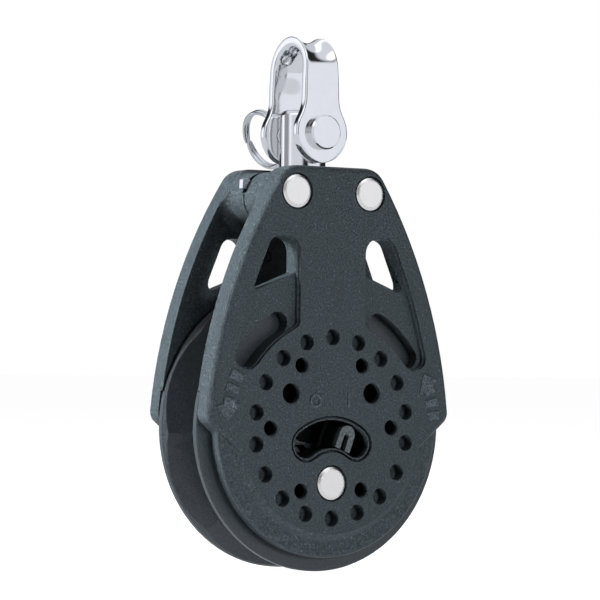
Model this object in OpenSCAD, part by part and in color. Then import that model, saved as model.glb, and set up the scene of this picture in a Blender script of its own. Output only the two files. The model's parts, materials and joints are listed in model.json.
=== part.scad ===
// Single ratchet block for rope: two moulded cheeks, a ball-bearing sheave with a
// switchable ratchet, and a swivel head with a stamped shackle.
// Frame: origin at the middle of the sheave, sheave axis along Y, +Z towards the shackle,
// the cheek with the ratchet switch at -Y. Millimetres.

/* [Block] */
// Width over the two cheeks
block_w = 23.4; // [23.2:0.1:23.8]
// Thickness of a cheek beside the sheave
plate_t = 4.15; // [3.9:0.05:4.2]
// Depth of a cheek's outer rim above the sheave
rim_t = 4.9; // [4.6:0.1:5.2]
// Rounding of a cheek's outer edge
edge_round = 1.2; // [0.9:0.1:1.3]

/* [Sheave] */
// Diameter over the flanges
sheave_d = 57; // [56.8:0.1:57.2]
// Width over the flanges
sheave_w = 14.6; // [14.4:0.1:14.6]
// Apothem of the eight-sided groove at its root
groove_root = 21.6; // [21.4:0.1:22]
// Rise of the groove wall per millimetre of radius
wall_slope = 0.4; // [0.36:0.01:0.44]

/* [Bearing] */
// Diameter of one ball
ball_d = 4.4; // [4.2:0.1:4.4]
// Radius of the circle the balls run on
ball_orbit = 18.6; // [18.5:0.1:18.7]
// Balls in each row
ball_count = 24; // [18:1:25]

/* [Ratchet] */
// Teeth of the ratchet ring
tooth_count = 36; // [24:12:36]
// Angle from the middle of the window to the switch's stops
switch_stop = 21.3; // [20:0.1:22]

/* [Head] */
// Height of the clevis pin above the sheave's axis
pin_z = 58.5; // [58.5:0.5:60]
// Radius of the swivel post
post_r = 4.65; // [4.5:0.05:4.65]
// Diameter of the clevis pin
pin_d = 5; // [4.8:0.1:5]
// Thickness of the shackle's strap
strap_t = 1.9; // [1.7:0.1:2]

/* [Hidden] */
$fn = 96;

half_w = block_w / 2;
sheave_r = sheave_d / 2;
over = 1;                       // how far a cut runs past a face
run = 0.05;                     // radial clearance of a running fit
seam = 0.03;                    // half of a closed seam between two pieces
seam_step = 0.15;               // relief of the two halves' meeting edges
slice_t = 0.01;                 // thickness of a slice under a hull

// Outline of a cheek: a long side arc between the ear and the shoulder
side_c = [-74.2, -7];
side_r = 103.1;
ear_r = 2.6;
ear_a = 5.6;
under_ear_a = -52;              // direction square to the slope under the ear
foot = [16.4, -8];              // lies under the raised disc
inset_prism = 0.05;             // of the prism that trims the head's fillets
foot_fillet = 5;                // between the slope under the ear and the disc
shoulder_r = 5;
head_top = 51.5;
ear_c = polar(side_r - ear_r, ear_a, side_c);
shoulder_z = head_top - shoulder_r;
shoulder_a = asin((shoulder_z - side_c.y) / (side_r - shoulder_r));
shoulder_c = polar(side_r - shoulder_r, shoulder_a, side_c);

// Raised disc and the lower ring around it
disc_r = 21;
step_r = 22.3;
step_d = 1.1;
low_r = 25.7;
low_round = 0.6;
low_t = 3.4;                    // depth of the lower ring's back
flange_room = sheave_r + 0.3;
low_lip = 2;                    // width of the lower ring's back lip
low_fall = 0.1;                 // of the lower ring's face, outwards
low_slope = 0.4;

// Side cut-outs
cut_x = 7.9;
cut_top = 37.4;
cut_far = 14.1;                 // outer end of the straight top
cut_inset = 4.5;                // from the cheek's outline
cut_toe = [22.7, 12.2];         // lowest outer corner
cut_toe_in = [19, 11.4];
cut_notch = 20.1;               // height of the lowest inner corner
cut_depth = 1.7;                // down to the web
ledge = 0.25;                   // width of the step in the wall of a cut-out
ledge_depth = 0.8;
web_edge = [[17.9, 26.5], [cut_x, 30.4]]; // where the web gives way to the opening
flush_r = 21.5;                 // lower edge, round the sheave's axis
slot_half = 2.2;
slot_a = [36, 60];

// Holes
ring_hole_r = 1.62;
ring_hole_orbit = 17.85;
ring_hole_depth = 2.6;
deep_hole_r = 1.48;
deep_hole_orbit = 14.2;
deep_hole_depth = 8.2;
pivot_hole_r = 1.97;
pivot_hole_depth = plate_t + 0.3;
pawl_pivot = [9.5, 6.8];
rim_cut = 0.25;                 // chamfer round the deep holes
mark = [3.9, 34.05];            // round ejector marks inside the back cheek
mark_r = 1.3;
mark_depth = 0.5;

// Rivets
hub_rivet_c = [0, -10.95];
head_rivet_c = [8.6, 46.35];
rivet_head_r = 3.25;
rivet_head_t = 1;
rivet_proud = 0.2;
rivet_gap = 0.35;               // round the head, in its seat
rivet_bevel = 0.62;             // width of the sloping edge of the head
rivet_drop = 0.32;
rivet_shank_r = 2;

// Window round the hub rivet
window_r = 9.72;
window_half = 3.6;
window_a = 37.4;
lip_gap = 0.45;                 // groove round the window's lip
lip_gap_depth = 1.2;
lip_w = 0.35;
lip_sink = 0.25;                // of the lip under the face

// Flanges of the sheave
lip_slope = 2;
rim_edge = 1.2;
rim_round = 0.2;
wall_foot = 3.05;               // height of the groove's flat root over the middle plane
wall_end_r = 30;
facet_turn = 2.8;               // how far the eight sides are turned

// Hub and bearing
hub_r = ball_orbit - 1.2;
bore_r = ball_orbit + 1.2;
ball_y = 4.6;
groove_r = ball_d / 2 + 0.06;
hub_end = 2.5;                  // half of the gap between the two hubs
hub_overlap = 0.5;
pin_hole_end = 5.8;
track_lip = 0.12;               // how far a track's edge reaches past the balls' circle

// Ratchet
ring_half = 1.9;
tooth_tip = bore_r - 1.9;
tooth_root = bore_r - 0.9;
works_half = 1.4;               // half thickness of the pawls and the cam
pawl_orbit = norm(pawl_pivot);
pawl_a = atan2(pawl_pivot.y, pawl_pivot.x);
pawl_pin_r = 1.2;
boss_end = -2.3;
boss_foot = hub_end + 1;
nose_gap = 0.12;
tail_orbit = 7.9;
tail_a = -30;
tail_r = 1.2;
boss_r = 3;
pin_end = 5.7;                  // half length of the pawls' pins
pawl_r = 2.4;                   // of the pawl round its pin
nose_a = 44;                    // from the pawl's pin
tooth_face = 1.2;               // degrees from a tooth's tip to its root
tooth_floor = 4;
spring_foot = [5.6, 6.1];       // round post a pawl spring leans on
spring_foot_r = 0.8;
spring_c = [8.5, 6.1];
spring_r = 2.05;
spring_t = 0.4;
spring_half = 0.9;
spring_a = [48, 172];

// Release cam
cam_low = 5.6;                  // radius away from the pawls' tails
cam_rest = 6.5;                 // under a tail with the ratchet on
cam_high = 7.18;                // under a tail with the ratchet off
cam_arm_r = 7.4;
cam_arm_a = 16;
cam_slot_in = 4.6;

// Ratchet switch
switch_back = -4.3;
switch_t = 1.6;
switch_hub_r = 4.2;
switch_arm = [3.2, 12.2, 4.8];  // inner end, outer end and width
switch_hang = 0.5;              // how far the tab and the peg reach into the arm
tab_w = 3.6;
tab_slot = 1.15;
tab_in = 7.05;
tab_out = 12.05;
tab_sink = 0.2;
peg_orbit = 5;
peg_r = 0.9;
peg_end = -0.2;
detent_top = -3.3;
detent_t = 0.3;
detent_half = 9;
detent_bump = [1.8, 1.65];      // half width and depth
detent_y = [-3.95, -2.7];

// Head
knuckle_c = [8.6, 45.35];
knuckle_r = 5.15;
flare = 2.4;                    // fillet from the head to the cheeks
flange_r = 5.4;
flange_z = 43.2;
flange_t = 2.4;
washer_t = 0.95;
head_room = 0.1;
clip_half = 0.65;
clip_in = 3.4;
clip_out = 3.95;
clip_slot_in = 3.3;
clip_slot_out = [5.75, 7];      // over the tip and over the arm
clip_a = [66, 162];             // ends of the arm round the knuckle
clip_tip_a = [44.5, 48.2, 74];
clip_finger = [[-4.4, 3.8], [-5.75, 3.6], [-5.85, 1.8], [-4.75, 1.65]];
notch_r = 3.6;
notch_half = 1;
notch_h = 2.8;
dome_t = 1.4;
post_top = 63.3;

// Shackle
ear_eye_r = 6;
waist_half = 4;
waist_fillet = 8;
shackle_gap = 5.1;              // half of the gap between the ears
shackle_shift = -0.35;          // it rests against the pin's head
crown_z = 71;                   // where the straps turn over
pin_head_r = 3.45;
pin_head_t = 1.5;
pin_r = pin_d / 2;
ring_r = 5.9;
wire_r = 0.45;
ring_sag = 0.28;                // the ring's bend inside the pin's hole
ring_hole_y = 7.6;
ring_hole = 1.35;
ring_tilt = -22.7;
ring_yaw = 5;
pin_tail = 9.8;
pin_edge = 0.3;                 // chamfer of the pin's head

function polar(r, a, c = [0, 0]) = c + r * [cos(a), sin(a)];
function unit(v) = v / norm(v);

// Points along an arc, both ends included
function arc(c, r, a0, a1, n) = [for (i = [0:n]) polar(r, a0 + (a1 - a0) * i / n, c)];

// An arc that replaces the corner b between a and c
function corner(a, b, c, r, n = 6) =
    let (u = unit(a - b), v = unit(c - b), half = acos(u * v) / 2,
         m = b + unit(u + v) * r / sin(half),
         s = b + u * r / tan(half) - m, e = b + v * r / tan(half) - m,
         a0 = atan2(s.y, s.x), turn = (atan2(e.y, e.x) - a0 + 540) % 360 - 180)
    arc(m, r, a0, a0 + turn, n);

// A polygon from [x, z, corner radius] points
function rounded(p) =
    let (n = len(p), at = [for (q = p) [q.x, q.y]])
    [for (i = [0:n - 1])
        each p[i].z > 0 ? corner(at[(i + n - 1) % n], at[i], at[(i + 1) % n], p[i].z)
                        : [at[i]]];

// A slot along an arc, with round ends
function arc_slot(c, r, half, a0, a1, n = 12) =
    concat(arc(c, r + half, a0, a1, n), arc(polar(r, a1, c), half, a1, a1 + 180, 8),
           arc(c, r - half, a1, a0, n), arc(polar(r, a0, c), half, a0 + 180, a0 + 360, 8));

// Half outline of a cheek, its edge moved inwards
function half_shield(inset) =
    concat([foot], arc(ear_c, ear_r - inset, under_ear_a, ear_a, 6),
           arc(side_c, side_r - inset, ear_a, shoulder_a, 14),
           arc(shoulder_c, shoulder_r - inset, shoulder_a, 90, 7));

function both_sides(p) =
    concat(p, [for (i = [len(p) - 1:-1:0]) [-p[i].x, p[i].y]]);

// Points down the outer edge of a side cut-out grown by g
function cut_side(z_from, z_to, g) =
    [for (i = [0:4])
        let (z = z_from + (z_to - z_from) * i / 4, r = side_r - cut_inset + g)
        [side_c.x + sqrt(r * r - (z - side_c.y) * (z - side_c.y)), z, 0]];

// Places a flat drawing (x right, y up) at depth d under the front face, growing inwards
module at_depth(d) translate([0, d - half_w, 0]) rotate([90, 0, 0]) mirror([0, 0, 1]) children();

// A prism between two heights along the sheave's axis
module along_y(y0, y1) translate([0, y1, 0]) rotate([90, 0, 0]) linear_extrude(y1 - y0) children();

// A rod or a bore along Y
module rod(r, y0, y1, at = [0, 0])
    translate([at.x, y1, at.y]) rotate([90, 0, 0]) cylinder(r = r, h = y1 - y0);

module both() {
    children();
    mirror([1, 0, 0]) children();
}

module shield_slice(d, inset)
    at_depth(d) linear_extrude(slice_t) polygon(both_sides(half_shield(inset)));

// The cheek's flat upper part with a rounded outer edge
module shield() {
    hull()
        for (t = [0:22.5:90])
            shield_slice((edge_round - slice_t) * (1 - cos(t)), edge_round * (1 - sin(t)));
    at_depth(edge_round) linear_extrude(rim_t - edge_round) polygon(both_sides(half_shield(0)));
}

// Fills the corner between the slope under the ear and the disc, with the cheek's own rounding
module foot_corner() {
    out = polar(1, under_ear_a);
    start = polar(ear_r, under_ear_a, ear_c);
    wall = start * out;
    step_mid = (disc_r + step_r) / 2;
    along = sqrt(pow(step_mid + foot_fillet, 2) - pow(wall + foot_fillet, 2));
    c = polar(wall + foot_fillet, under_ear_a) + polar(along, under_ear_a + 90);
    depth = step_d + 0.4;
    at_depth(0) difference() {
        linear_extrude(depth)
            polygon([c - foot_fillet * out, foot, c * step_mid / norm(c), c]);
        translate([c.x, c.y, 0]) rotate_extrude()
            polygon(concat([[0, -over], [foot_fillet + edge_round, -over]],
                           arc([foot_fillet + edge_round, edge_round], edge_round, 270, 180, 5),
                           [[foot_fillet, depth + over], [0, depth + over]]));
    }
}

// The raised disc, its sloped step and the lower ring
module disc() {
    lip_r = low_r - low_lip;
    round_c = [low_r - low_round, step_d + low_fall + low_round];
    at_depth(0) rotate_extrude()
        polygon(concat([[0, 0], [disc_r, 0], [step_r, step_d]],
                       arc(round_c, low_round, -90, 0, 5),
                       [[low_r, low_t], [lip_r, low_t], [lip_r - low_slope, plate_t],
                        [0, plate_t]]));
}

// Outlines of a side cut-out's recess and of the opening through it, grown by g
function recess(g) =
    concat([[cut_x - g, cut_top + g, 3 + g], [cut_far + g / 2, cut_top + g, 2.6 + g]],
           cut_side(33, 17, g),
           [[cut_toe.x + g, cut_toe.y - g / 3, 1.9 + g], [cut_toe_in.x, cut_toe_in.y - g, 1.4 + g]],
           [for (p = arc([0, 0], flush_r - g, slot_a[0], slot_a[1] + 1, 8)) [p.x, p.y, 0]],
           [[cut_x - g, cut_notch, 1.4]]);

function opening() =
    concat([[cut_x, cut_top, 3], [cut_far, cut_top, 2.6]], cut_side(33, 29, 0),
           [[web_edge[0].x, web_edge[0].y, 1], [web_edge[1].x, web_edge[1].y, 0.6]]);

module side_cutout() {
    at_depth(-over) linear_extrude(ledge_depth + over) polygon(rounded(recess(ledge)));
    at_depth(-over) linear_extrude(cut_depth + over) polygon(rounded(recess(0)));
    at_depth(-over) linear_extrude(rim_t + 2 * over) polygon(rounded(opening()));
    at_depth(-over) linear_extrude(rim_t + 2 * over)
        polygon(arc_slot([0, 0], flush_r + slot_half, slot_half, slot_a[0], slot_a[1]));
}

module chamfered_hole(r, depth, at) {
    rod(r, -half_w - over, depth - half_w, at);
    translate([at.x, -half_w, at.y]) rotate([-90, 0, 0])
        cylinder(r1 = r + rim_cut, r2 = r, h = rim_cut);
}

// The holes every cheek has: flush holes, deep holes, pivot holes and rivet seats
module cheek_holes() {
    for (i = [0:17])
        rod(ring_hole_r, -half_w - over, ring_hole_depth - half_w,
            polar(ring_hole_orbit, 90 + 20 * i));
    for (i = [0:5])
        chamfered_hole(deep_hole_r, deep_hole_depth, polar(deep_hole_orbit, 60 * i));
    both() chamfered_hole(pivot_hole_r, pivot_hole_depth, pawl_pivot);
    both() rivet_seat(head_rivet_c);
    rivet_seat(hub_rivet_c);
}

module rivet_seat(at) {
    rod(rivet_head_r + rivet_gap, -half_w - over, rivet_head_t - half_w, at);
    rod(rivet_shank_r + run, -half_w - over, over, at);
}

// Half of the head: two knuckles joined by a block, flared where it meets the cheek
module head_block(r, d0, d1)
    at_depth(d0) linear_extrude(d1 - d0)
        hull() both() translate(knuckle_c) circle(r = r, $fn = 48);

// Fillet between the head and the inner face of the cheek
module head_flare()
    intersection() {
        translate([0, rim_t - half_w, 0]) {
            both() translate([knuckle_c.x, 0, knuckle_c.y]) rotate([-90, 0, 0])
                rotate_extrude() polygon(flare_profile());
            for (side = [-1, 1]) translate([-knuckle_c.x, 0, knuckle_c.y]) rotate([90, 0, 90])
                linear_extrude(2 * knuckle_c.x)
                    polygon([for (p = flare_profile()) [p.y, side * p.x]]);
        }
        shield_prism(rim_t + flare + over);
    }

// Section of the fillet as [distance from the knuckle's axis, height over the cheek]
function flare_profile() =
    let (r = knuckle_r - run, c = [r + flare, flare - seam], inner = r - 0.4, low = -0.5)
    concat([[inner, low], [c.x, low]], arc(c, flare, 270, 180, 6), [[inner, c.y]]);

module shield_prism(depth)
    at_depth(0) linear_extrude(depth) polygon(both_sides(half_shield(inset_prism)));

// Room in the head for the post, its flange and washer, and for the lock clip
module head_cavity() {
    translate([0, 0, flange_z - head_room])
        cylinder(r = flange_r + head_room, h = flange_t + washer_t + 3 * head_room - 0.15);
    translate([0, 0, flange_z]) cylinder(r = post_r + head_room, h = 20);
    along_y(-clip_half - head_room, clip_half + head_room) {
        translate([-knuckle_c.x, knuckle_c.y]) {
            ring_sector(clip_slot_in, clip_slot_out[0], 24, 74);
            ring_sector(clip_slot_in, clip_slot_out[1], 72, 169);
        }
    }
}

module ring_sector(r_in, r_out, a0, a1)
    polygon(concat(arc([0, 0], r_out, a0, a1, 12), arc([0, 0], r_in, a1, a0, 12)));

// What both cheeks share, drawn as the front one
module cheek()
    difference() {
        union() {
            difference() {
                union() {
                    shield();
                    disc();
                    both() foot_corner();
                }
                rod(flange_room, plate_t - half_w, rim_t - half_w + over);
            }
            difference() {
                union() {
                    head_block(knuckle_r, rim_t - hub_overlap, half_w - seam - seam_step);
                    head_block(knuckle_r - seam_step, rim_t, half_w - seam);
                    head_flare();
                }
                head_cavity();
            }
            hub();
        }
        both() side_cutout();
        cheek_holes();
    }

// The hub that carries one row of balls
module hub()
    difference() {
        union() {
            rod(hub_r, plate_t - half_w - hub_overlap, -ball_y);
            rod(ball_orbit - groove_r + track_lip, -ball_y - hub_overlap, -hub_end);
        }
        ball_groove(-ball_y);
        both() rod(pawl_pin_r + 0.02, -pin_hole_end, 0, pawl_pivot);
    }

module ball_groove(y)
    translate([0, y, 0]) rotate([90, 0, 0])
        rotate_extrude() translate([ball_orbit, 0]) circle(r = groove_r);

module front_cheek()
    color([0.17, 0.18, 0.19])
    difference() {
        cheek();
        window(window_half, -over, lip_sink);
        difference() {
            window(window_half, -over, lip_gap_depth);
            window(window_half - lip_gap, -2 * over, half_w);
        }
        window(window_half - lip_gap - lip_w, -over, half_w);
        switch_room();
    }

module window(half, d0, d1)
    at_depth(d0) linear_extrude(d1 - d0)
        polygon(arc_slot(hub_rivet_c, window_r, half, 90 - window_a, 90 + window_a));

// Room behind the window for the switch and the detent spring
module switch_room() {
    front = switch_back - switch_t - 0.2;
    along_y(front, 0) polygon(arc_slot(hub_rivet_c, 8.2, 4.6, 56, 124));
    rod(switch_hub_r + 0.25, front, 0, hub_rivet_c);
    along_y(detent_y[0] - 0.2, 0) translate([0, detent_top - detent_t / 2])
        square([2 * detent_half + 0.4, detent_t + 0.5], center = true);
}

module back_cheek()
    color([0.17, 0.18, 0.19])
        difference() {
            union() {
                mirror([0, 1, 0]) cheek();
                rod(boss_r, boss_end, boss_foot);
                rod(boss_r + 1, works_half + 0.1, boss_foot);
                rod(boss_r + 0.2, switch_back + 0.15, boss_foot, hub_rivet_c);
                rod(boss_r, switch_back - switch_t - 0.15, 0, hub_rivet_c);
                for (a = [pawl_a, 180 - pawl_a])
                    along_y(-works_half, boss_foot) rotate(a) spring_anchor();
            }
            rod(rivet_shank_r + run, -half_w, half_w, hub_rivet_c);
            both() rod(mark_r, half_w - rim_t - over, half_w - rim_t + mark_depth, mark);
        }

// A rivet with two bevelled heads, each with a fine groove round its flat face
module rivet(at) {
    face_r = rivet_head_r - rivet_bevel;
    h = rivet_head_t + rivet_proud;
    rod(rivet_shank_r, -half_w, half_w, at);
    for (s = [0, 1])
        mirror([0, s, 0]) translate([at.x, -half_w - rivet_proud, at.y]) rotate([-90, 0, 0])
        rotate_extrude()
            polygon([[0, 0], [face_r, 0], [face_r + 0.08, 0.1], [face_r + 0.16, 0.04],
                     [rivet_head_r, rivet_drop], [rivet_head_r, h], [0, h]]);
}

module head_rivets() color([0.85, 0.86, 0.88]) both() rivet(head_rivet_c);

module hub_rivet() color([0.85, 0.86, 0.88]) rivet(hub_rivet_c);

// Height of the groove's wall over the middle plane, on a facet's middle line
function wall_y(r) = wall_foot + wall_slope * (r - groove_root);

// One flange with its facets: an eight-sided frustum trimmed to a round rim
module flange_half() {
    half = sheave_w / 2;
    lip_y = half - rim_edge;
    end_y = wall_y(wall_end_r);
    intersection() {
        union() {
            rod_poly(groove_root, groove_root, -0.01, wall_foot);
            rod_poly(groove_root, wall_end_r, wall_foot, end_y);
            rod_poly(wall_end_r, wall_end_r, end_y, half + over);
        }
        rotate([-90, 0, 0]) rotate_extrude()
            polygon([[0, 0], [sheave_r - lip_y / lip_slope, 0], [sheave_r - 0.12, lip_y - 0.18],
                     [sheave_r, lip_y], [sheave_r, half - rim_round],
                     [sheave_r - rim_round, half], [0, half]]);
    }
}

// Eight-sided frustum along +Y, given by the apothems of its ends
module rod_poly(a0, a1, y0, y1)
    translate([0, y0, 0]) rotate([-90, 0, 0])
        cylinder(r1 = a0 / cos(22.5), r2 = a1 / cos(22.5), h = y1 - y0, $fn = 8);

// Track of one row of balls, open to the outside so that the balls can be put in
module ball_side() {
    ball_groove(ball_y);
    rod(ball_orbit + groove_r - track_lip, ball_y, sheave_w);
}

module sheave()
    color([0.2, 0.21, 0.22])
    difference() {
        turn(facet_turn) union() {
            flange_half();
            mirror([0, 1, 0]) flange_half();
        }
        rod(bore_r, -sheave_w, sheave_w);
        ball_side();
        mirror([0, 1, 0]) ball_side();
    }

module ratchet_ring()
    color([0.6, 0.61, 0.63])
    along_y(-ring_half, ring_half) difference() {
        circle(r = bore_r, $fn = 144);
        polygon([for (i = [0:tooth_count - 1]) let (a = 360 / tooth_count * i)
                 each [polar(tooth_tip, a), polar(tooth_root, a + tooth_face),
                       polar(tooth_root, a + tooth_floor)]]);
    }

module balls(y) color([0.9, 0.9, 0.88])
    for (i = [0:ball_count - 1]) {
        p = polar(ball_orbit, 360 / ball_count * i);
        translate([p.x, y, p.y]) sphere(d = ball_d, $fn = 32);
    }

module front_balls() balls(-ball_y);

module back_balls() balls(ball_y);

// A pawl with its pivot on +X: nose ahead, tail behind
module pawl() {
    pivot = [pawl_orbit, 0];
    tail = polar(tail_orbit, tail_a);
    nose = polar(tooth_tip - nose_gap, nose_a);
    side = atan2(tail.y, tail.x - pawl_orbit);
    along_y(-works_half, works_half) difference() {
        polygon(concat(arc(tail, tail_r, side - 90, side + 90, 10),
                       arc(pivot, pawl_r, side + 90, 2, 8),
                       [[12.6, 8.5], nose + [0.05, -0.9], nose, nose - [2.2, -0.3], [10.1, 9]],
                       [[9.5, 1.4]]));
        translate(pivot) circle(r = pawl_pin_r + run);
    }
}

// A turn about the sheave's axis by an angle seen from the front
module turn(a) rotate([0, -a, 0]) children();

module right_pawl() color([0.7, 0.71, 0.73]) turn(pawl_a) pawl();

module left_pawl() color([0.7, 0.71, 0.73]) turn(180 - pawl_a) pawl();

module pawl_pins()
    color([0.85, 0.86, 0.88]) both() rod(pawl_pin_r, -pin_end, pin_end, pawl_pivot);

// The post a pawl spring leans on, and the bowed leaf itself, for a pawl on +X
module spring_anchor() translate(spring_foot) circle(r = spring_foot_r, $fn = 24);

module pawl_spring()
    along_y(-spring_half, spring_half) translate(spring_c)
        ring_sector(spring_r - spring_t, spring_r, spring_a[0], spring_a[1]);

module left_pawl_spring() color([0.8, 0.81, 0.84]) turn(180 - pawl_a) pawl_spring();

module right_pawl_spring() color([0.8, 0.81, 0.84]) turn(pawl_a) pawl_spring();

// Radius of the release cam at an angle ahead of a pawl's tail
function cam_r(a) =
    lookup(a, [[-8, cam_low], [0, cam_rest], [32, cam_high], [40, cam_high], [50, cam_low]]);

// An angle brought between -180 and 180
function wrap(a) = (a + 540) % 360 - 180;

module release_cam() {
    peg = polar(peg_orbit, 90 - switch_stop, hub_rivet_c);
    peg_a = atan2(peg.y, peg.x);
    tail = pawl_a + tail_a;
    other = 180 - pawl_a + tail_a;
    color([0.75, 0.75, 0.72])
    along_y(-works_half, works_half) difference() {
        union() {
            polygon([for (a = [0:2:358])
                     polar(max(cam_r(wrap(a - tail)), cam_r(wrap(a - other))), a)]);
            polygon(concat([[0, 0]],
                           arc([0, 0], cam_arm_r, peg_a - cam_arm_a, peg_a + cam_arm_a, 8)));
        }
        circle(r = boss_r + run);
        rotate(peg_a) translate([cam_slot_in, -peg_r - 0.15]) square([6, 2 * peg_r + 0.3]);
    }
}

module ratchet_switch() {
    lean = 90 - switch_stop;
    front = switch_back - switch_t;
    color([0.32, 0.33, 0.34])
    difference() {
        union() {
            rod(switch_hub_r, front, switch_back, hub_rivet_c);
            along_y(front, switch_back) translate(hub_rivet_c) rotate(lean)
                translate([switch_arm[0], -switch_arm[2] / 2])
                square([switch_arm[1] - switch_arm[0], switch_arm[2]]);
            along_y(tab_sink - half_w, switch_back - switch_hang)
                translate(hub_rivet_c) rotate(lean) finger_tab();
            rod(peg_r, switch_back - switch_hang, peg_end, polar(peg_orbit, lean, hub_rivet_c));
        }
        rod(boss_r + run, -half_w, 0, hub_rivet_c);
    }
}

// The switch's tab, an arch open towards the pivot
module finger_tab() {
    tab_c = tab_out - tab_w / 2;
    slot_c = tab_c - 0.4;
    difference() {
        union() {
            translate([tab_in, -tab_w / 2]) square([tab_c - tab_in, tab_w]);
            translate([tab_c, 0]) circle(d = tab_w, $fn = 48);
        }
        translate([tab_in - over, -tab_slot / 2]) square([slot_c - tab_in + over, tab_slot]);
        translate([slot_c, 0]) circle(d = tab_slot, $fn = 32);
    }
}

module detent_spring() {
    low = detent_top - detent_t;
    color([0.75, 0.76, 0.78])
    along_y(detent_y[0], detent_y[1])
        polygon([[-detent_half, detent_top], [detent_half, detent_top], [detent_half, low],
                 [detent_bump[0], low], [0, detent_top - detent_bump[1]], [-detent_bump[0], low],
                 [-detent_half, low]]);
}

module head_post()
    color([0.85, 0.86, 0.88])
    difference() {
        rotate_extrude()
            polygon(concat([[0, flange_z], [flange_r, flange_z], [flange_r, flange_z + flange_t],
                            [post_r, flange_z + flange_t]],
                           arc([post_r - dome_t, post_top - dome_t], dome_t, 0, 90, 8),
                           [[0, post_top]]));
        rod(pin_r + run, -post_r - over, post_r + over, [0, pin_z]);
        for (a = [0:90:270]) rotate([0, 0, a])
            translate([notch_r, -notch_half, flange_z + flange_t + washer_t])
            cube([2, 2 * notch_half, notch_h]);
    }

module post_washer()
    color([0.9, 0.9, 0.88])
    translate([0, 0, flange_z + flange_t + seam]) difference() {
        cylinder(r = flange_r, h = washer_t - seam);
        translate([0, 0, -over]) cylinder(r = post_r + run, h = washer_t + 2 * over);
    }

module lock_clip()
    color([0.85, 0.86, 0.88])
    along_y(-clip_half, clip_half) translate([-knuckle_c.x, knuckle_c.y]) {
        ring_sector(clip_in, clip_out, clip_a[0], clip_a[1]);
        polygon(concat(arc([0, 0], clip_in, clip_a[1], clip_a[1] - 12, 2), clip_finger));
        polygon([polar(clip_in, clip_a[0]), polar(5.2, clip_tip_a[0]), polar(5.44, clip_tip_a[1]),
                 polar(clip_out, clip_tip_a[2])]);
    }

// One ear and its strap, drawn round the clevis pin
function ear_side() =
    let (c = [waist_half + waist_fillet,
              sqrt(pow(ear_eye_r + waist_fillet, 2) - pow(waist_half + waist_fillet, 2))],
         a = atan2(c.y, c.x))
    concat(arc([0, 0], ear_eye_r, -90, a, 18), arc(c, waist_fillet, a + 180, 180, 8),
           [[waist_half, crown_z - pin_z]]);

module shackle()
    color([0.88, 0.89, 0.91])
    translate([0, shackle_shift, 0]) {
        for (s = [0, 1]) mirror([0, s, 0]) difference() {
            along_y(shackle_gap, shackle_gap + strap_t)
                translate([0, pin_z]) polygon(both_sides(ear_side()));
            rod(pin_r + run, 0, shackle_gap + 2 * strap_t, [0, pin_z]);
        }
        translate([0, 0, crown_z]) rotate([0, -90, 0]) rotate([0, 0, -90]) rotate_extrude(angle = 180)
            translate([shackle_gap, -waist_half]) square([strap_t, 2 * waist_half]);
    }

module clevis_pin() {
    seat = shackle_shift - shackle_gap - strap_t;
    color([0.85, 0.86, 0.88])
    difference() {
        union() {
            rod(pin_r, seat - 0.1, pin_tail, [0, pin_z]);
            rod(pin_head_r, seat - pin_head_t + pin_edge, seat, [0, pin_z]);
            translate([0, seat - pin_head_t, pin_z]) rotate([-90, 0, 0])
                cylinder(r1 = pin_head_r - pin_edge, r2 = pin_head_r, h = pin_edge);
        }
        translate([0, ring_hole_y, pin_z]) rotate([0, ring_tilt, 0])
            cylinder(r = ring_hole, h = 4 * pin_r, center = true);
    }
}

// Two turns of wire side by side, held in the pin's tail
module split_ring()
    color([0.85, 0.86, 0.88])
    translate([0, ring_hole_y, pin_z]) rotate([0, ring_tilt, 0]) rotate([0, 0, ring_yaw])
        translate([0, ring_r - ring_sag, 0]) rotate([0, 90, 0])
        rotate_extrude() translate([ring_r, 0])
            for (s = [-1, 1])
                translate([0, s * (wire_r - seam)]) circle(r = wire_r, $fn = 24);

front_cheek();
back_cheek();
head_rivets();
hub_rivet();
sheave();
ratchet_ring();
front_balls();
back_balls();
left_pawl();
right_pawl();
pawl_pins();
left_pawl_spring();
right_pawl_spring();
release_cam();
ratchet_switch();
detent_spring();
head_post();
post_washer();
lock_clip();
shackle();
clevis_pin();
split_ring();
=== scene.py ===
import json
import math

import bmesh
import bpy
from mathutils import Matrix, Vector


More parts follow.
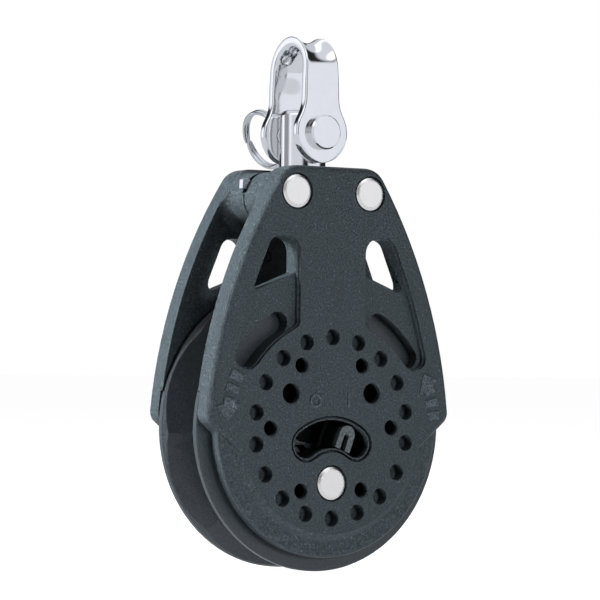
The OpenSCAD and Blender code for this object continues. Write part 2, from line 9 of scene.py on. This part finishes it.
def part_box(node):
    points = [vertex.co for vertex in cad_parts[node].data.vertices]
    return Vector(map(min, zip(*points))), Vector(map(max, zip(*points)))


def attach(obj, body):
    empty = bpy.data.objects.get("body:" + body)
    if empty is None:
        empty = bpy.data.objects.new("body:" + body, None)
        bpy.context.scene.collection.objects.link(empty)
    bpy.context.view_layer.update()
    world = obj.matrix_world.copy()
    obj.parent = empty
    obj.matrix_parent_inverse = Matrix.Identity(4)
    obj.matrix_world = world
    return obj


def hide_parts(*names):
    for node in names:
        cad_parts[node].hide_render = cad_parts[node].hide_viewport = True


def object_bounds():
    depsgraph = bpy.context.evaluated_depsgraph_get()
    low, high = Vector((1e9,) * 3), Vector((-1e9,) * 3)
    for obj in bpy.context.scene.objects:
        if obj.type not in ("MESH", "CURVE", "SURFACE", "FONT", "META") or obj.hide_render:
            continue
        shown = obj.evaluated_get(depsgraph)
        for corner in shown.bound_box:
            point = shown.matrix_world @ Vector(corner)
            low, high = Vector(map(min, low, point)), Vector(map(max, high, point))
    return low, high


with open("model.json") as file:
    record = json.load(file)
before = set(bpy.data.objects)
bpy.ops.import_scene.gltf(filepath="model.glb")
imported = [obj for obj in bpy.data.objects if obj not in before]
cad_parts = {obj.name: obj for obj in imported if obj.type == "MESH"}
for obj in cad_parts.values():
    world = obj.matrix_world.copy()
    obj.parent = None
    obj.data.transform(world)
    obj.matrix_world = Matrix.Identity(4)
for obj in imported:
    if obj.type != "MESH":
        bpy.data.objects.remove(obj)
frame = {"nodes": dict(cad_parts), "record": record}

MM = 0.001
cad_low, cad_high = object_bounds()


# --- Node helpers -----------------------------------------------------------------

class Nodes:
    """A material's node tree, with short calls to add and join nodes."""

    def __init__(self, tree):
        self.tree = tree
        tree.nodes.clear()

    def add(self, kind, **values):
        node = self.tree.nodes.new(kind)
        for key, value in values.items():
            if key in node.inputs:
                node.inputs[key].default_value = value
            else:
                setattr(node, key, value)
        return node

    def join(self, source, target):
        self.tree.links.new(source, target)

    def math(self, operation, a, b):
        node = self.add("ShaderNodeMath", operation=operation)
        for socket, value in zip(node.inputs, (a, b)):
            if isinstance(value, (int, float)):
                socket.default_value = value
            else:
                self.join(value, socket)
        return node.outputs[0]

    def math_add(self, a, factor, offset):
        """a times a factor, plus an offset."""
        total = self.math("MULTIPLY_ADD", a, factor)
        total.node.inputs[2].default_value = offset
        return total

    def noise(self, coords, scale, detail=2.0, rough=0.5):
        node = self.add("ShaderNodeTexNoise", Scale=scale, Detail=detail, Roughness=rough)
        self.join(coords, node.inputs["Vector"])
        return node.outputs["Fac"]

    def ramp(self, factor, low, high, at=(0.0, 1.0)):
        node = self.add("ShaderNodeValToRGB")
        node.color_ramp.elements[0].position = at[0]
        node.color_ramp.elements[1].position = at[1]
        node.color_ramp.elements[0].color = (*low, 1)
        node.color_ramp.elements[1].color = (*high, 1)
        self.join(factor, node.inputs[0])
        return node.outputs[0]

    def seen_by(self, ray, normal, seen):
        """One shader for the light in the room, another for one kind of ray."""
        path = self.add("ShaderNodeLightPath")
        mix = self.add("ShaderNodeMixShader")
        self.join(path.outputs[ray], mix.inputs[0])
        self.join(normal, mix.inputs[1])
        self.join(seen, mix.inputs[2])
        return mix.outputs[0]


def new_material(name):
    material = bpy.data.materials.new(name)
    material.use_nodes = True
    return material, Nodes(material.node_tree)


def scaled(colour, factor):
    return tuple(min(1.0, c * factor) for c in colour)


def shader_end(nodes, bsdf, height, depth, edge):
    """Bump on top of a slightly softened edge, joined to the output."""
    bevel = nodes.add("ShaderNodeBevel", samples=6, Radius=edge)
    bump = nodes.add("ShaderNodeBump", Strength=1.0, Distance=depth)
    nodes.join(height, bump.inputs["Height"])
    nodes.join(bevel.outputs[0], bump.inputs["Normal"])
    nodes.join(bump.outputs[0], bsdf.inputs["Normal"])
    out = nodes.add("ShaderNodeOutputMaterial")
    nodes.join(bsdf.outputs[0], out.inputs["Surface"])


# Moulded plastic
GRAIN_TONES = (0.4, 1.6)        # darkest and palest grain, as shares of the colour
GRAIN_SPREAD = (0.36, 0.64)     # part of the noise between the two
FLECK_SPREAD = (0.65, 0.72)
CLOUD_SCALE = 90.0
CLOUD_TONE = (0.3, 0.85)        # rise and lowest share of the tone in rubbed patches
CLOUD_ROUGH = 0.16
SHINE = 0.24
# Painted shade in the works: how far it fades in, and the lowest share of the colour it leaves
SHADE_PAINT_FADE = 0.8 * MM
SHADE_PAINT_SHARE = 0.03


def moulded(name, colour, rough, grain, depth, fleck=1.0, edge=0.2 * MM, painted_shade=None,
            shine=SHINE):
    """Moulded plastic: fine grain, pale flecks of the filler and softly rubbed patches.

    A given depth and radius mark a drum round the sheave's axis inside which the plastic's colour is
    darkened as painted shade in the works."""
    material, n = new_material(name)
    coords = n.add("ShaderNodeTexCoord").outputs["Object"]
    fine = n.noise(coords, grain, 3.0, 0.65)
    cloud = n.noise(coords, CLOUD_SCALE, 3.0, 0.55)
    dots = n.noise(coords, grain * 0.8, 1.0, 0.4)
    dark, pale = (scaled(colour, share) for share in GRAIN_TONES)
    base = n.ramp(fine, dark, pale, GRAIN_SPREAD)
    tone = n.math_add(cloud, *CLOUD_TONE)
    spots = n.ramp(dots, (0, 0, 0), (fleck, fleck, fleck), FLECK_SPREAD)
    strength = n.math("ADD", tone, spots)
    # Painted shade: darker colour inside the drum round the sheave's axis
    if painted_shade:
        strength = n.math("MULTIPLY", strength, painted_shade_factor(n, coords, *painted_shade))
    lit = n.add("ShaderNodeVectorMath", operation="SCALE")
    n.join(base, lit.inputs[0])
    n.join(strength, lit.inputs["Scale"])
    bsdf = n.add("ShaderNodeBsdfPrincipled")
    bsdf.inputs["Specular IOR Level"].default_value = shine
    n.join(lit.outputs[0], bsdf.inputs["Base Color"])
    worn = n.math_add(cloud, CLOUD_ROUGH, rough - CLOUD_ROUGH / 2)
    n.join(worn, bsdf.inputs["Roughness"])
    shader_end(n, bsdf, fine, depth, edge)
    return material


def painted_shade_factor(n, coords, half_depth, radius):
    """Painted shade: falls from 1 to a low value inside a drum round the sheave's axis."""
    parts = n.add("ShaderNodeSeparateXYZ")
    n.join(coords, parts.inputs[0])
    x = parts.outputs["X"]
    z = parts.outputs["Z"]
    reach = n.math("SQRT", n.math("ADD", n.math("MULTIPLY", x, x), n.math("MULTIPLY", z, z)), 0.0)
    outside = n.math("SUBTRACT", reach, radius)
    before = n.math("SUBTRACT", n.math("ABSOLUTE", parts.outputs["Y"], 0.0), half_depth)
    clear = n.math("MAXIMUM", outside, before)
    fade = n.add("ShaderNodeMapRange", interpolation_type="SMOOTHSTEP")
    n.join(clear, fade.inputs["Value"])
    fade.inputs["From Min"].default_value = 0.0
    fade.inputs["From Max"].default_value = SHADE_PAINT_FADE
    fade.inputs["To Min"].default_value = SHADE_PAINT_SHARE
    return fade.outputs["Result"]


# Polished steel
HAIRLINE_SCALE = 4200.0
HAIRLINE_STRETCH = (1.0, 1.0, 0.06)
RIPPLE_SCALE = 260.0
RIPPLE_DEPTH = 0.004 * MM
HAZE_SCALE = 330.0
HAZE_TONES = (0.93, 1.03)
HAZE_ROUGH = (0.07, -0.03)
LINE_ROUGH = 0.05


def polished(name, colour, rough=0.07, edge=0.12 * MM, brushed=0.0):
    """Polished stainless steel: tumbled surface with a faint ripple, hairlines and handling haze."""
    material, n = new_material(name)
    coords = n.add("ShaderNodeTexCoord").outputs["Object"]
    stretch = n.add("ShaderNodeMapping", Scale=HAIRLINE_STRETCH)
    n.join(coords, stretch.inputs["Vector"])
    lines = n.noise(stretch.outputs[0], HAIRLINE_SCALE, 2.0, 0.6)
    ripple = n.noise(coords, RIPPLE_SCALE, 2.0, 0.5)
    haze = n.noise(coords, HAZE_SCALE, 4.0, 0.6)
    bsdf = n.add("ShaderNodeBsdfPrincipled", Metallic=1.0)
    dull, clear = (scaled(colour, share) for share in HAZE_TONES)
    n.join(n.ramp(haze, dull, clear), bsdf.inputs["Base Color"])
    scratch = n.math("MULTIPLY", lines, brushed + LINE_ROUGH)
    soft = n.math_add(haze, HAZE_ROUGH[0], rough + HAZE_ROUGH[1])
    n.join(n.math("ADD", soft, scratch), bsdf.inputs["Roughness"])
    shader_end(n, bsdf, ripple, RIPPLE_DEPTH, edge)
    return material


CHEEK = (0.0135, 0.0175, 0.0200)
SHEAVE = (0.0085, 0.0112, 0.0130)
SWITCH = (0.034, 0.040, 0.042)
BALL = (0.75, 0.75, 0.71)
CAM = (0.03, 0.033, 0.033)
MARK = scaled(CHEEK, 1.55)
CHEEK_GRAIN = 2900.0
FINE_GRAIN = 2600.0
PAINTED_SHADE_DRUM = (9.9 * MM, 15.4 * MM)   # half depth and radius of the drum of painted shade in the works
# The cheek and switch plastics darken inside the works: painted shade
cheek_plastic = moulded("cheek_plastic", CHEEK, 0.42, CHEEK_GRAIN, 0.04 * MM, painted_shade=PAINTED_SHADE_DRUM)
sheave_plastic = moulded("sheave_plastic", SHEAVE, 0.34, FINE_GRAIN, 0.01 * MM, fleck=0.2,
                         edge=0.15 * MM, shine=0.6)
switch_plastic = moulded("switch_plastic", SWITCH, 0.5, FINE_GRAIN, 0.015 * MM, fleck=0.2,
                         painted_shade=PAINTED_SHADE_DRUM)
ball_plastic = moulded("ball_plastic", BALL, 0.25, 900.0, 0.002 * MM, fleck=0.0)
cam_plastic = moulded("cam_plastic", CAM, 0.5, 1500.0, 0.01 * MM, fleck=0.0)
mark_plastic = moulded("mark_plastic", MARK, 0.4, CHEEK_GRAIN, 0.02 * MM, edge=0.06 * MM)
mirror_steel = polished("mirror_steel", (0.87, 0.87, 0.88))
rivet_steel = polished("rivet_steel", (0.98, 0.945, 0.9), 0.2, brushed=0.06)
# Painted shade: the works' steel is given a very dark colour so that the works look black through
# the window
works_steel = polished("works_steel", (0.14, 0.14, 0.14), 0.35, brushed=0.1)
wire_steel = polished("wire_steel", (0.66, 0.67, 0.69))

FINISH = {
    "cheek": cheek_plastic,
    "sheave": sheave_plastic,
    "steel": mirror_steel,
    "switch": switch_plastic,
    "works": works_steel,
    "ball": ball_plastic,
    "cam": cam_plastic,
}
SMOOTH_ANGLE = {"sheave": 12, "head_rivets": 15, "hub_rivet": 15}
CAD_ANGLE = 28


def paint(obj, material):
    obj.data.materials.clear()
    obj.data.materials.append(material)


def smooth(obj, angle):
    obj.data.shade_smooth()
    obj.data.set_sharp_from_angle(angle=math.radians(angle))


def finish_cad():
    """Gives each CAD node the material of its slot and smooth shading on its curves."""
    for part in frame["record"]["subparts"]:
        obj = frame["nodes"][part["node"]]
        paint(obj, FINISH[part["material_slot"]])
        smooth(obj, SMOOTH_ANGLE.get(part["node"], CAD_ANGLE))
    for name in ("head_rivets", "hub_rivet"):
        paint(frame["nodes"][name], rivet_steel)


finish_cad()


# --- Mesh helpers -----------------------------------------------------------------

def add_mesh(name, verts, faces, body, material, slot, angle):
    """A new piece from points in metres, painted, smoothed and riding on a body."""
    mesh = bpy.data.meshes.new(name)
    mesh.from_pydata([tuple(v) for v in verts], [], faces)
    mesh.validate()
    bm = bmesh.new()
    bm.from_mesh(mesh)
    bmesh.ops.recalc_face_normals(bm, faces=bm.faces)
    bm.to_mesh(mesh)
    bm.free()
    obj = bpy.data.objects.new(name, mesh)
    bpy.context.scene.collection.objects.link(obj)
    paint(obj, material)
    smooth(obj, angle)
    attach(obj, body)
    return obj


def loft(rings, closed_path=False):
    """Points and faces of a tube through equal rings, with both ends capped."""
    count = len(rings[0])
    verts = [p for ring in rings for p in ring]
    faces = []
    last = len(rings) if closed_path else len(rings) - 1
    for i in range(last):
        a = i * count
        b = ((i + 1) % len(rings)) * count
        for j in range(count):
            k = (j + 1) % count
            faces.append((a + j, a + k, b + k, b + j))
    if not closed_path:
        faces.append(tuple(range(count))[::-1])
        faces.append(tuple(range((len(rings) - 1) * count, len(rings) * count)))
    return verts, faces


def smoothstep(t):
    t = max(0.0, min(1.0, t))
    return t * t * (3 - 2 * t)


def spaced(start, end, count):
    return [start + (end - start) * i / (count - 1) for i in range(count)]


# --- Shackle ----------------------------------------------------------------------

STRAP_T = 1.9
EAR_R = 6.0
WAIST = 4.0
CROWN_HALF = 3.5
FLARE = 1.35
LEG_Y = 6.05
BOW_Z = 71.2
EDGE_R = 0.42
EDGE_STEPS = (22.5, 45, 67.5)
WAIST_FILLET = 8.0
CROWN_RUN = 12.0                # length over which the strap narrows to the crown
EAR_STEPS = (3, 8, 14, 22, 31, 42, 54, 67, 80, 93, 106)
BEND_FROM = 66.0                # height where the strap starts to curve across
BEND_FIRST = 0.3                # share of the curve reached at the foot of the bow
BEND_SWEEP = 62.0
STRAP_ANGLE = 50
PIN_HOLE_R = 2.55


def strap_section(width):
    """Closed rounded section as (across, through) points, more of them over the broad sides."""
    half = STRAP_T / 2
    r = min(EDGE_R, width * 0.45)
    points = []
    for side in (1, -1):
        points += [(u, side * half) for u in spaced(-side * (width - r), side * (width - r), 11)]
        for a in EDGE_STEPS:
            across = width - r + r * math.sin(math.radians(a))
            through = half - r + r * math.cos(math.radians(a))
            points.append((side * across, side * through))
        points.append((side * width, side * (half - r)))
        points.append((side * width, -side * (half - r)))
        for a in reversed(EDGE_STEPS):
            across = width - r + r * math.sin(math.radians(a))
            through = half - r + r * math.cos(math.radians(a))
            points.append((side * across, -side * through))
    return points


def strap_width(z, pin_z):
    """Half width of the strap at a height: round ear, fillet, waist, narrower crown."""
    side = WAIST + WAIST_FILLET
    rise = math.sqrt((EAR_R + WAIST_FILLET) ** 2 - side ** 2)
    tangent = EAR_R * rise / (EAR_R + WAIST_FILLET)
    h = z - pin_z
    if h < tangent:
        return math.sqrt(max(EAR_R ** 2 - h * h, 0.09))
    if h < rise:
        return side - math.sqrt(WAIST_FILLET ** 2 - (rise - h) ** 2)
    return WAIST - (WAIST - CROWN_HALF) * smoothstep((h - rise) / CROWN_RUN)


def strap_rows(pin_z):
    """(y, z, outward angle, half width, flare) down the path from one ear over the bow."""
    leg = [pin_z - EAR_R * math.cos(math.radians(a)) for a in EAR_STEPS]
    leg += spaced(leg[-1] + 0.8, BOW_Z - 0.5, 15)
    rows = []
    for z in leg:
        flare = BEND_FIRST * smoothstep((z - BEND_FROM) / (BOW_Z - BEND_FROM))
        rows.append((LEG_Y, z, 0.0, strap_width(z, pin_z), flare))
    for a in spaced(0, 180, 37):
        s = math.sin(math.radians(a))
        z = BOW_Z + LEG_Y * s
        flare = BEND_FIRST + (1 - BEND_FIRST) * smoothstep(min(a, 180 - a) / BEND_SWEEP)
        rows.append((LEG_Y * math.cos(math.radians(a)), z, a, strap_width(z, pin_z), flare))
    for row in rows[len(leg) - 1::-1]:
        rows.append((-row[0], row[1], 180.0, row[3], row[4]))
    return rows


def make_shackle():
    low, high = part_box("shackle")
    pin_low, pin_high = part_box("clevis_pin")
    pin_z = (pin_low.z + pin_high.z) / 2 / MM
    shift = (low.y + high.y) / 2 / MM
    rings = []
    for y, z, angle, width, flare in strap_rows(pin_z):
        out = (math.cos(math.radians(angle)), math.sin(math.radians(angle)))
        ring = []
        for u, n in strap_section(width):
            lift = n - flare * FLARE * (1 - (u / width) ** 2)
            ring.append(Vector((u, shift + y + out[0] * lift, z + out[1] * lift)) * MM)
        rings.append(ring)
    shackle = add_mesh("shackle_strap", *loft(rings), "shackle", mirror_steel, "steel", STRAP_ANGLE)
    cut_hole(shackle, Vector((0, 0, pin_z * MM)), PIN_HOLE_R * MM)
    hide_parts("shackle")


def cut_hole(obj, centre, radius):
    """Bores a round hole along Y right through a piece."""
    bm = bmesh.new()
    turn = Matrix.Rotation(math.radians(90), 4, "X")
    place = Matrix.Translation(centre) @ turn
    bmesh.ops.create_cone(bm, cap_ends=True, segments=64, radius1=radius, radius2=radius,
                          depth=50 * MM, matrix=place)
    mesh = bpy.data.meshes.new("cutter")
    bm.to_mesh(mesh)
    bm.free()
    cutter = bpy.data.objects.new("cutter", mesh)
    bpy.context.scene.collection.objects.link(cutter)
    cut = obj.modifiers.new("hole", "BOOLEAN")
    cut.operation = "DIFFERENCE"
    cut.solver = "EXACT"
    cut.object = cutter
    bake(obj)
    bpy.data.objects.remove(cutter)
    smooth(obj, STRAP_ANGLE)


def bake(obj):
    """Applies the modifiers of a piece to its own mesh."""
    bpy.context.view_layer.update()
    graph = bpy.context.evaluated_depsgraph_get()
    mesh = bpy.data.meshes.new_from_object(obj.evaluated_get(graph))
    obj.modifiers.clear()
    obj.data = mesh


# --- Split ring -------------------------------------------------------------------

RING_R = 5.9
WIRE_R = 0.44
RING_TILT = -22.7
RING_YAW = 5.0
RING_STEPS = 160                # round both turns
RING_ANGLE = 60
WIRE_STEPS = 12                 # round the wire
WIRE_LAP = 0.005                # by which the two turns touch
CROSS_FROM = 0.9                # turns after which the wire steps across
CROSS_RUN = 0.2
TIP_SHARE = 0.72                # thickness of the wire's cut ends
TIP_RISE = 0.14


def make_split_ring():
    """Two touching turns of wire: each end lies flat, and the wire steps across in between."""
    low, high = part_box("split_ring")
    centre = (low + high) / 2
    tilt = Matrix.Rotation(math.radians(RING_TILT), 4, "Y")
    tilt = tilt @ Matrix.Rotation(math.radians(RING_YAW), 4, "Z")
    rings = []
    for i in range(RING_STEPS + 1):
        turn = 2 * i / RING_STEPS
        a = 2 * math.pi * turn
        side = -1 + 2 * smoothstep((turn - CROSS_FROM) / CROSS_RUN)
        end = min(i, RING_STEPS - i)
        wire = WIRE_R * min(1.0, TIP_SHARE + TIP_RISE * end)
        out = Vector((0, math.cos(a), math.sin(a)))
        middle = Vector((side * (WIRE_R - WIRE_LAP), 0, 0)) + out * RING_R
        ring = []
        for k in range(WIRE_STEPS):
            b = 2 * math.pi * k / WIRE_STEPS
            ring.append(centre + tilt @ ((middle + out * wire * math.cos(b)) * MM
                                         + Vector((wire * math.sin(b), 0, 0)) * MM))
        rings.append(ring)
    ring = add_mesh("split_ring_wire", *loft(rings), "ring", wire_steel, "steel", RING_ANGLE)
    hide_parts("split_ring")


# --- Marks on the cheek -----------------------------------------------------------

MARK_H = 0.24
MARK_SINK = 0.1                 # of a mark's foot in the face
MARK_ANGLE = 30
MARK_SLOPE = ((MARK_SINK, 0.0), (-0.75 * MARK_H, 0.03), (-MARK_H, 0.1))  # depth and inset
MARK_SECTION = ((-0.5, -MARK_SINK), (-0.4, MARK_H), (0.4, MARK_H), (0.5, -MARK_SINK))
ARROW_R = (22.9, 25.9)          # inner and outer radius of an arrow's shaft
ARROW_BARS = ((16.6, 13.0), (23.0, 18.9))  # degrees behind the tip
RING_MARK_STEPS = 40


def cheek_prism(name, outline):
    """A low raised mark on the front cheek from (x, z) points, with sloping sides."""
    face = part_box("front_cheek")[0].y
    count = len(outline)
    cx = sum(p[0] for p in outline) / count
    cz = sum(p[1] for p in outline) / count
    rings = []
    for depth, inset in MARK_SLOPE:
        ring = []
        for x, z in outline:
            reach = max(math.hypot(x - cx, z - cz), 0.01)
            k = 1 - inset / reach
            place = Vector((cx + (x - cx) * k, depth, cz + (z - cz) * k)) * MM
            ring.append(place + Vector((0, face, 0)))
        rings.append(ring)
    add_mesh(name, *loft(rings), "frame", mark_plastic, "cheek", MARK_ANGLE)


def polar(radius, angle):
    return (radius * math.cos(math.radians(angle)), radius * math.sin(math.radians(angle)))


def band(r0, r1, a0, a1):
    """Outline of a piece of a ring."""
    angles = spaced(a0, a1, 6)
    return [polar(r1, a) for a in angles] + [polar(r0, a) for a in reversed(angles)]


def make_arrow(name, tip):
    """Direction arrow: a barbed head and two bars behind it, all on one circle."""
    point = [polar(24.3, tip)]
    inner_barb = [polar(21.9, tip - 8.6), polar(23.0, tip - 8.2)]
    shaft = [polar(23.2, tip - 10.8), polar(25.8, tip - 10.2)]
    outer_barb = [polar(25.7, tip - 7.0), polar(26.9, tip - 5.6)]
    cheek_prism(name + "_head", point + inner_barb + shaft + outer_barb)
    for i, (start, end) in enumerate(ARROW_BARS):
        cheek_prism(f"{name}_bar_{i + 1}", band(*ARROW_R, tip - start, tip - end))


def make_ring_mark(name, x, z, radius, width):
    """A low raised ring on the front cheek."""
    middle = Vector((x * MM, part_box("front_cheek")[0].y, z * MM))
    rings = []
    for a in spaced(0, 360, RING_MARK_STEPS + 1)[:-1]:
        out = Vector((math.cos(math.radians(a)), 0, math.sin(math.radians(a))))
        ring = []
        for across, rise in MARK_SECTION:
            ring.append(middle + out * (radius + across * width) * MM - Vector((0, rise * MM, 0)))
        rings.append(ring)
    add_mesh(name, *loft(rings, closed_path=True), "frame", mark_plastic, "cheek", MARK_ANGLE)


def make_bar_mark(name, x, z, length, width):
    """A low raised upright bar on the front cheek."""
    half = width / 2
    cheek_prism(name, [(x - half, z), (x + half, z), (x + half, z + length), (x - half, z + length)])


make_shackle()
make_split_ring()
make_arrow("arrow_right", tip=26.2)
make_arrow("arrow_left", tip=176.5)
make_ring_mark("mark_free", x=-3.95, z=5.3, radius=1.15, width=0.42)
make_bar_mark("mark_ratchet", x=3.8, z=4.0, length=2.6, width=0.42)


# --- Camera, floor and light ------------------------------------------------------

# Camera: degrees, distance from the middle of the front face, sideways and upward shift
CAMERA_AZIMUTH = -32.905
CAMERA_ELEVATION = -1.236
CAMERA_ROLL = -0.525
CAMERA_DISTANCE = 556.8 * MM
CAMERA_SHIFT = (-6.348 * MM, 25.151 * MM)
CAMERA_LENS = 169.71
CAMERA_CLIP = (0.01, 20)
AIM_DEPTH = -11.7 * MM          # depth of the front face

# Light panels as azimuth, elevation, angle of full brightness, angle where they end, brightness
PANELS = {
    "front": (30, 3, 28, 40, 0.92),
    "left": (-68, 16, 30, 44, 0.76),
    "top": (-70, 80, 44, 56, 0.78),
    "backdrop": (147, 0, 7, 12, 0.8),
    "left_back": (-120, 10, 24, 34, 0.32),
    "edge": (-150, 6, 11, 15, 0.9),
    "high_back": (138, 44, 20, 28, 0.66),
    "high_front": (10, 58, 12, 19, 0.55),
}
PANEL_FILL = 0.05               # share of the panels' light that matt surfaces get

# Lamps as azimuth, elevation, distance, size, power: steel does not mirror them
LAMPS = {
    "side_lamp": (-118, 26, 0.6, 0.2, 34.0),
    "front_lamp": (4, 8, 0.7, 0.12, 6.3),
    "right_lamp": (100, 25, 0.7, 0.3, 4.5),
    "back_lamp": (172, 28, 0.7, 0.3, 4.8),
    "low_lamp": (-30, -64, 0.6, 0.25, 6.9),
}
LAMP_AIM = 20 * MM              # height the lamps point at
ROOM = 0.02                     # brightness between the panels
ROOM_TINT = (0.9, 0.93, 1.0)
FLOOR_HALF = 6
FLOOR_GAP = 0.2 * MM            # under the sheave
FLOOR_GLOW = 0.97               # of the floor as the camera sees it
FLOOR_MIRRORED = 0.74           # of the floor as steel mirrors it
FLOOR_PAPER = (0.26, 0.30)      # tones of the floor that light bounces off
PAPER_SCALE = 3.0
SHADOW_SHARE = 0.1              # how much the shadow shows


def make_camera():
    """Camera set by its angles and distance from the sheave's axis on the front face."""
    a, e, r = (math.radians(v) for v in (CAMERA_AZIMUTH, CAMERA_ELEVATION, CAMERA_ROLL))
    back = Vector((math.sin(a) * math.cos(e), -math.cos(a) * math.cos(e), math.sin(e)))
    right = Vector((math.cos(a), math.sin(a), 0))
    up = back.cross(right)
    x = math.cos(-r) * CAMERA_SHIFT[0] - math.sin(-r) * CAMERA_SHIFT[1]
    y = math.sin(-r) * CAMERA_SHIFT[0] + math.cos(-r) * CAMERA_SHIFT[1]
    cam_right = right * math.cos(r) - up * math.sin(r)
    cam_up = right * math.sin(r) + up * math.cos(r)
    place = right * x + up * y + back * CAMERA_DISTANCE + Vector((0, AIM_DEPTH, 0))
    data = bpy.data.cameras.new("camera")
    data.lens = CAMERA_LENS
    data.clip_start, data.clip_end = CAMERA_CLIP
    camera = bpy.data.objects.new("camera", data)
    bpy.context.scene.collection.objects.link(camera)
    turn = Matrix((cam_right, cam_up, back)).transposed()
    camera.matrix_world = Matrix.Translation(place) @ turn.to_4x4()
    bpy.context.scene.camera = camera


def make_floor():
    """A plain pale floor just under the sheave: nearly white to the camera, with a faint shadow."""
    mesh = bpy.data.meshes.new("floor")
    bm = bmesh.new()
    bmesh.ops.create_grid(bm, x_segments=1, y_segments=1, size=FLOOR_HALF)
    bm.to_mesh(mesh)
    bm.free()
    floor = bpy.data.objects.new("floor", mesh)
    floor.location.z = cad_low.z - FLOOR_GAP
    floor.visible_shadow = False
    bpy.context.scene.collection.objects.link(floor)
    material, n = new_material("floor_paper")
    paper = n.add("ShaderNodeBsdfDiffuse")
    shaded = n.add("ShaderNodeBsdfDiffuse", Color=(SHADOW_SHARE, SHADOW_SHARE, SHADOW_SHARE, 1))
    coords = n.add("ShaderNodeTexCoord").outputs["Object"]
    tone = n.noise(coords, PAPER_SCALE)
    dull, clear = ((shade, shade, shade) for shade in FLOOR_PAPER)
    n.join(n.ramp(tone, dull, clear), paper.inputs["Color"])
    glow = n.add("ShaderNodeEmission", Strength=FLOOR_GLOW)
    bright = n.add("ShaderNodeAddShader")
    n.join(shaded.outputs[0], bright.inputs[0])
    n.join(glow.outputs[0], bright.inputs[1])
    out = n.add("ShaderNodeOutputMaterial")
    mirrored = n.add("ShaderNodeEmission", Color=(*ROOM_TINT, 1), Strength=FLOOR_MIRRORED)
    lower = n.seen_by("Is Glossy Ray", paper.outputs[0], mirrored.outputs[0])
    n.join(n.seen_by("Is Camera Ray", lower, bright.outputs[0]), out.inputs["Surface"])
    paint(floor, material)


def compass(azimuth, elevation):
    """Direction from the object, with azimuth 0 towards the front of the block."""
    a, e = math.radians(azimuth), math.radians(elevation)
    return Vector((math.sin(a) * math.cos(e), -math.cos(a) * math.cos(e), math.sin(e)))


def panel(n, coords, azimuth, elevation, inner, outer, brightness):
    """Brightness of a soft round panel: full inside one angle, fading out at a wider one."""
    aim = n.add("ShaderNodeVectorMath", operation="DOT_PRODUCT")
    n.join(coords, aim.inputs[0])
    aim.inputs[1].default_value = compass(azimuth, elevation)
    edge = n.add("ShaderNodeMapRange", interpolation_type="SMOOTHSTEP")
    n.join(aim.outputs["Value"], edge.inputs["Value"])
    edge.inputs["From Min"].default_value = math.cos(math.radians(outer))
    edge.inputs["From Max"].default_value = math.cos(math.radians(inner))
    edge.inputs["To Max"].default_value = brightness
    return edge.outputs["Result"]


def make_world():
    """White to the camera; to the object a dark room with soft round panels of light."""
    world = bpy.data.worlds.new("studio")
    bpy.context.scene.world = world
    world.use_nodes = True
    n = Nodes(world.node_tree)
    coords = n.add("ShaderNodeTexCoord").outputs["Generated"]
    total = ROOM
    for place in PANELS.values():
        total = n.math("ADD", panel(n, coords, *place), total)
    lit = n.add("ShaderNodeBackground", Color=(*ROOM_TINT, 1))
    path = n.add("ShaderNodeLightPath")
    fill = n.math_add(path.outputs["Is Diffuse Ray"], PANEL_FILL - 1, 1.0)
    n.join(n.math("MULTIPLY", n.math("MAXIMUM", total, 0.0), fill), lit.inputs["Strength"])
    seen = n.add("ShaderNodeBackground", Color=(1, 1, 1, 1), Strength=1.0)
    out = n.add("ShaderNodeOutputWorld")
    n.join(n.seen_by("Is Camera Ray", lit.outputs[0], seen.outputs[0]), out.inputs["Surface"])


def area_light(name, azimuth, elevation, distance, size, power):
    """A square lamp aimed at the block, left out of the steel's reflections."""
    back = compass(azimuth, elevation)
    data = bpy.data.lights.new(name, "AREA")
    data.size = size
    data.energy = power
    light = bpy.data.objects.new(name, data)
    light.location = Vector((0, 0, LAMP_AIM)) + back * distance
    light.visible_glossy = False
    light.rotation_mode = "QUATERNION"
    light.rotation_quaternion = (-back).to_track_quat("-Z", "Y")
    bpy.context.scene.collection.objects.link(light)


make_camera()
make_floor()
make_world()
for lamp, lamp_place in LAMPS.items():
    area_light(lamp, *lamp_place)
bpy.context.scene.view_settings.view_transform = "Standard"
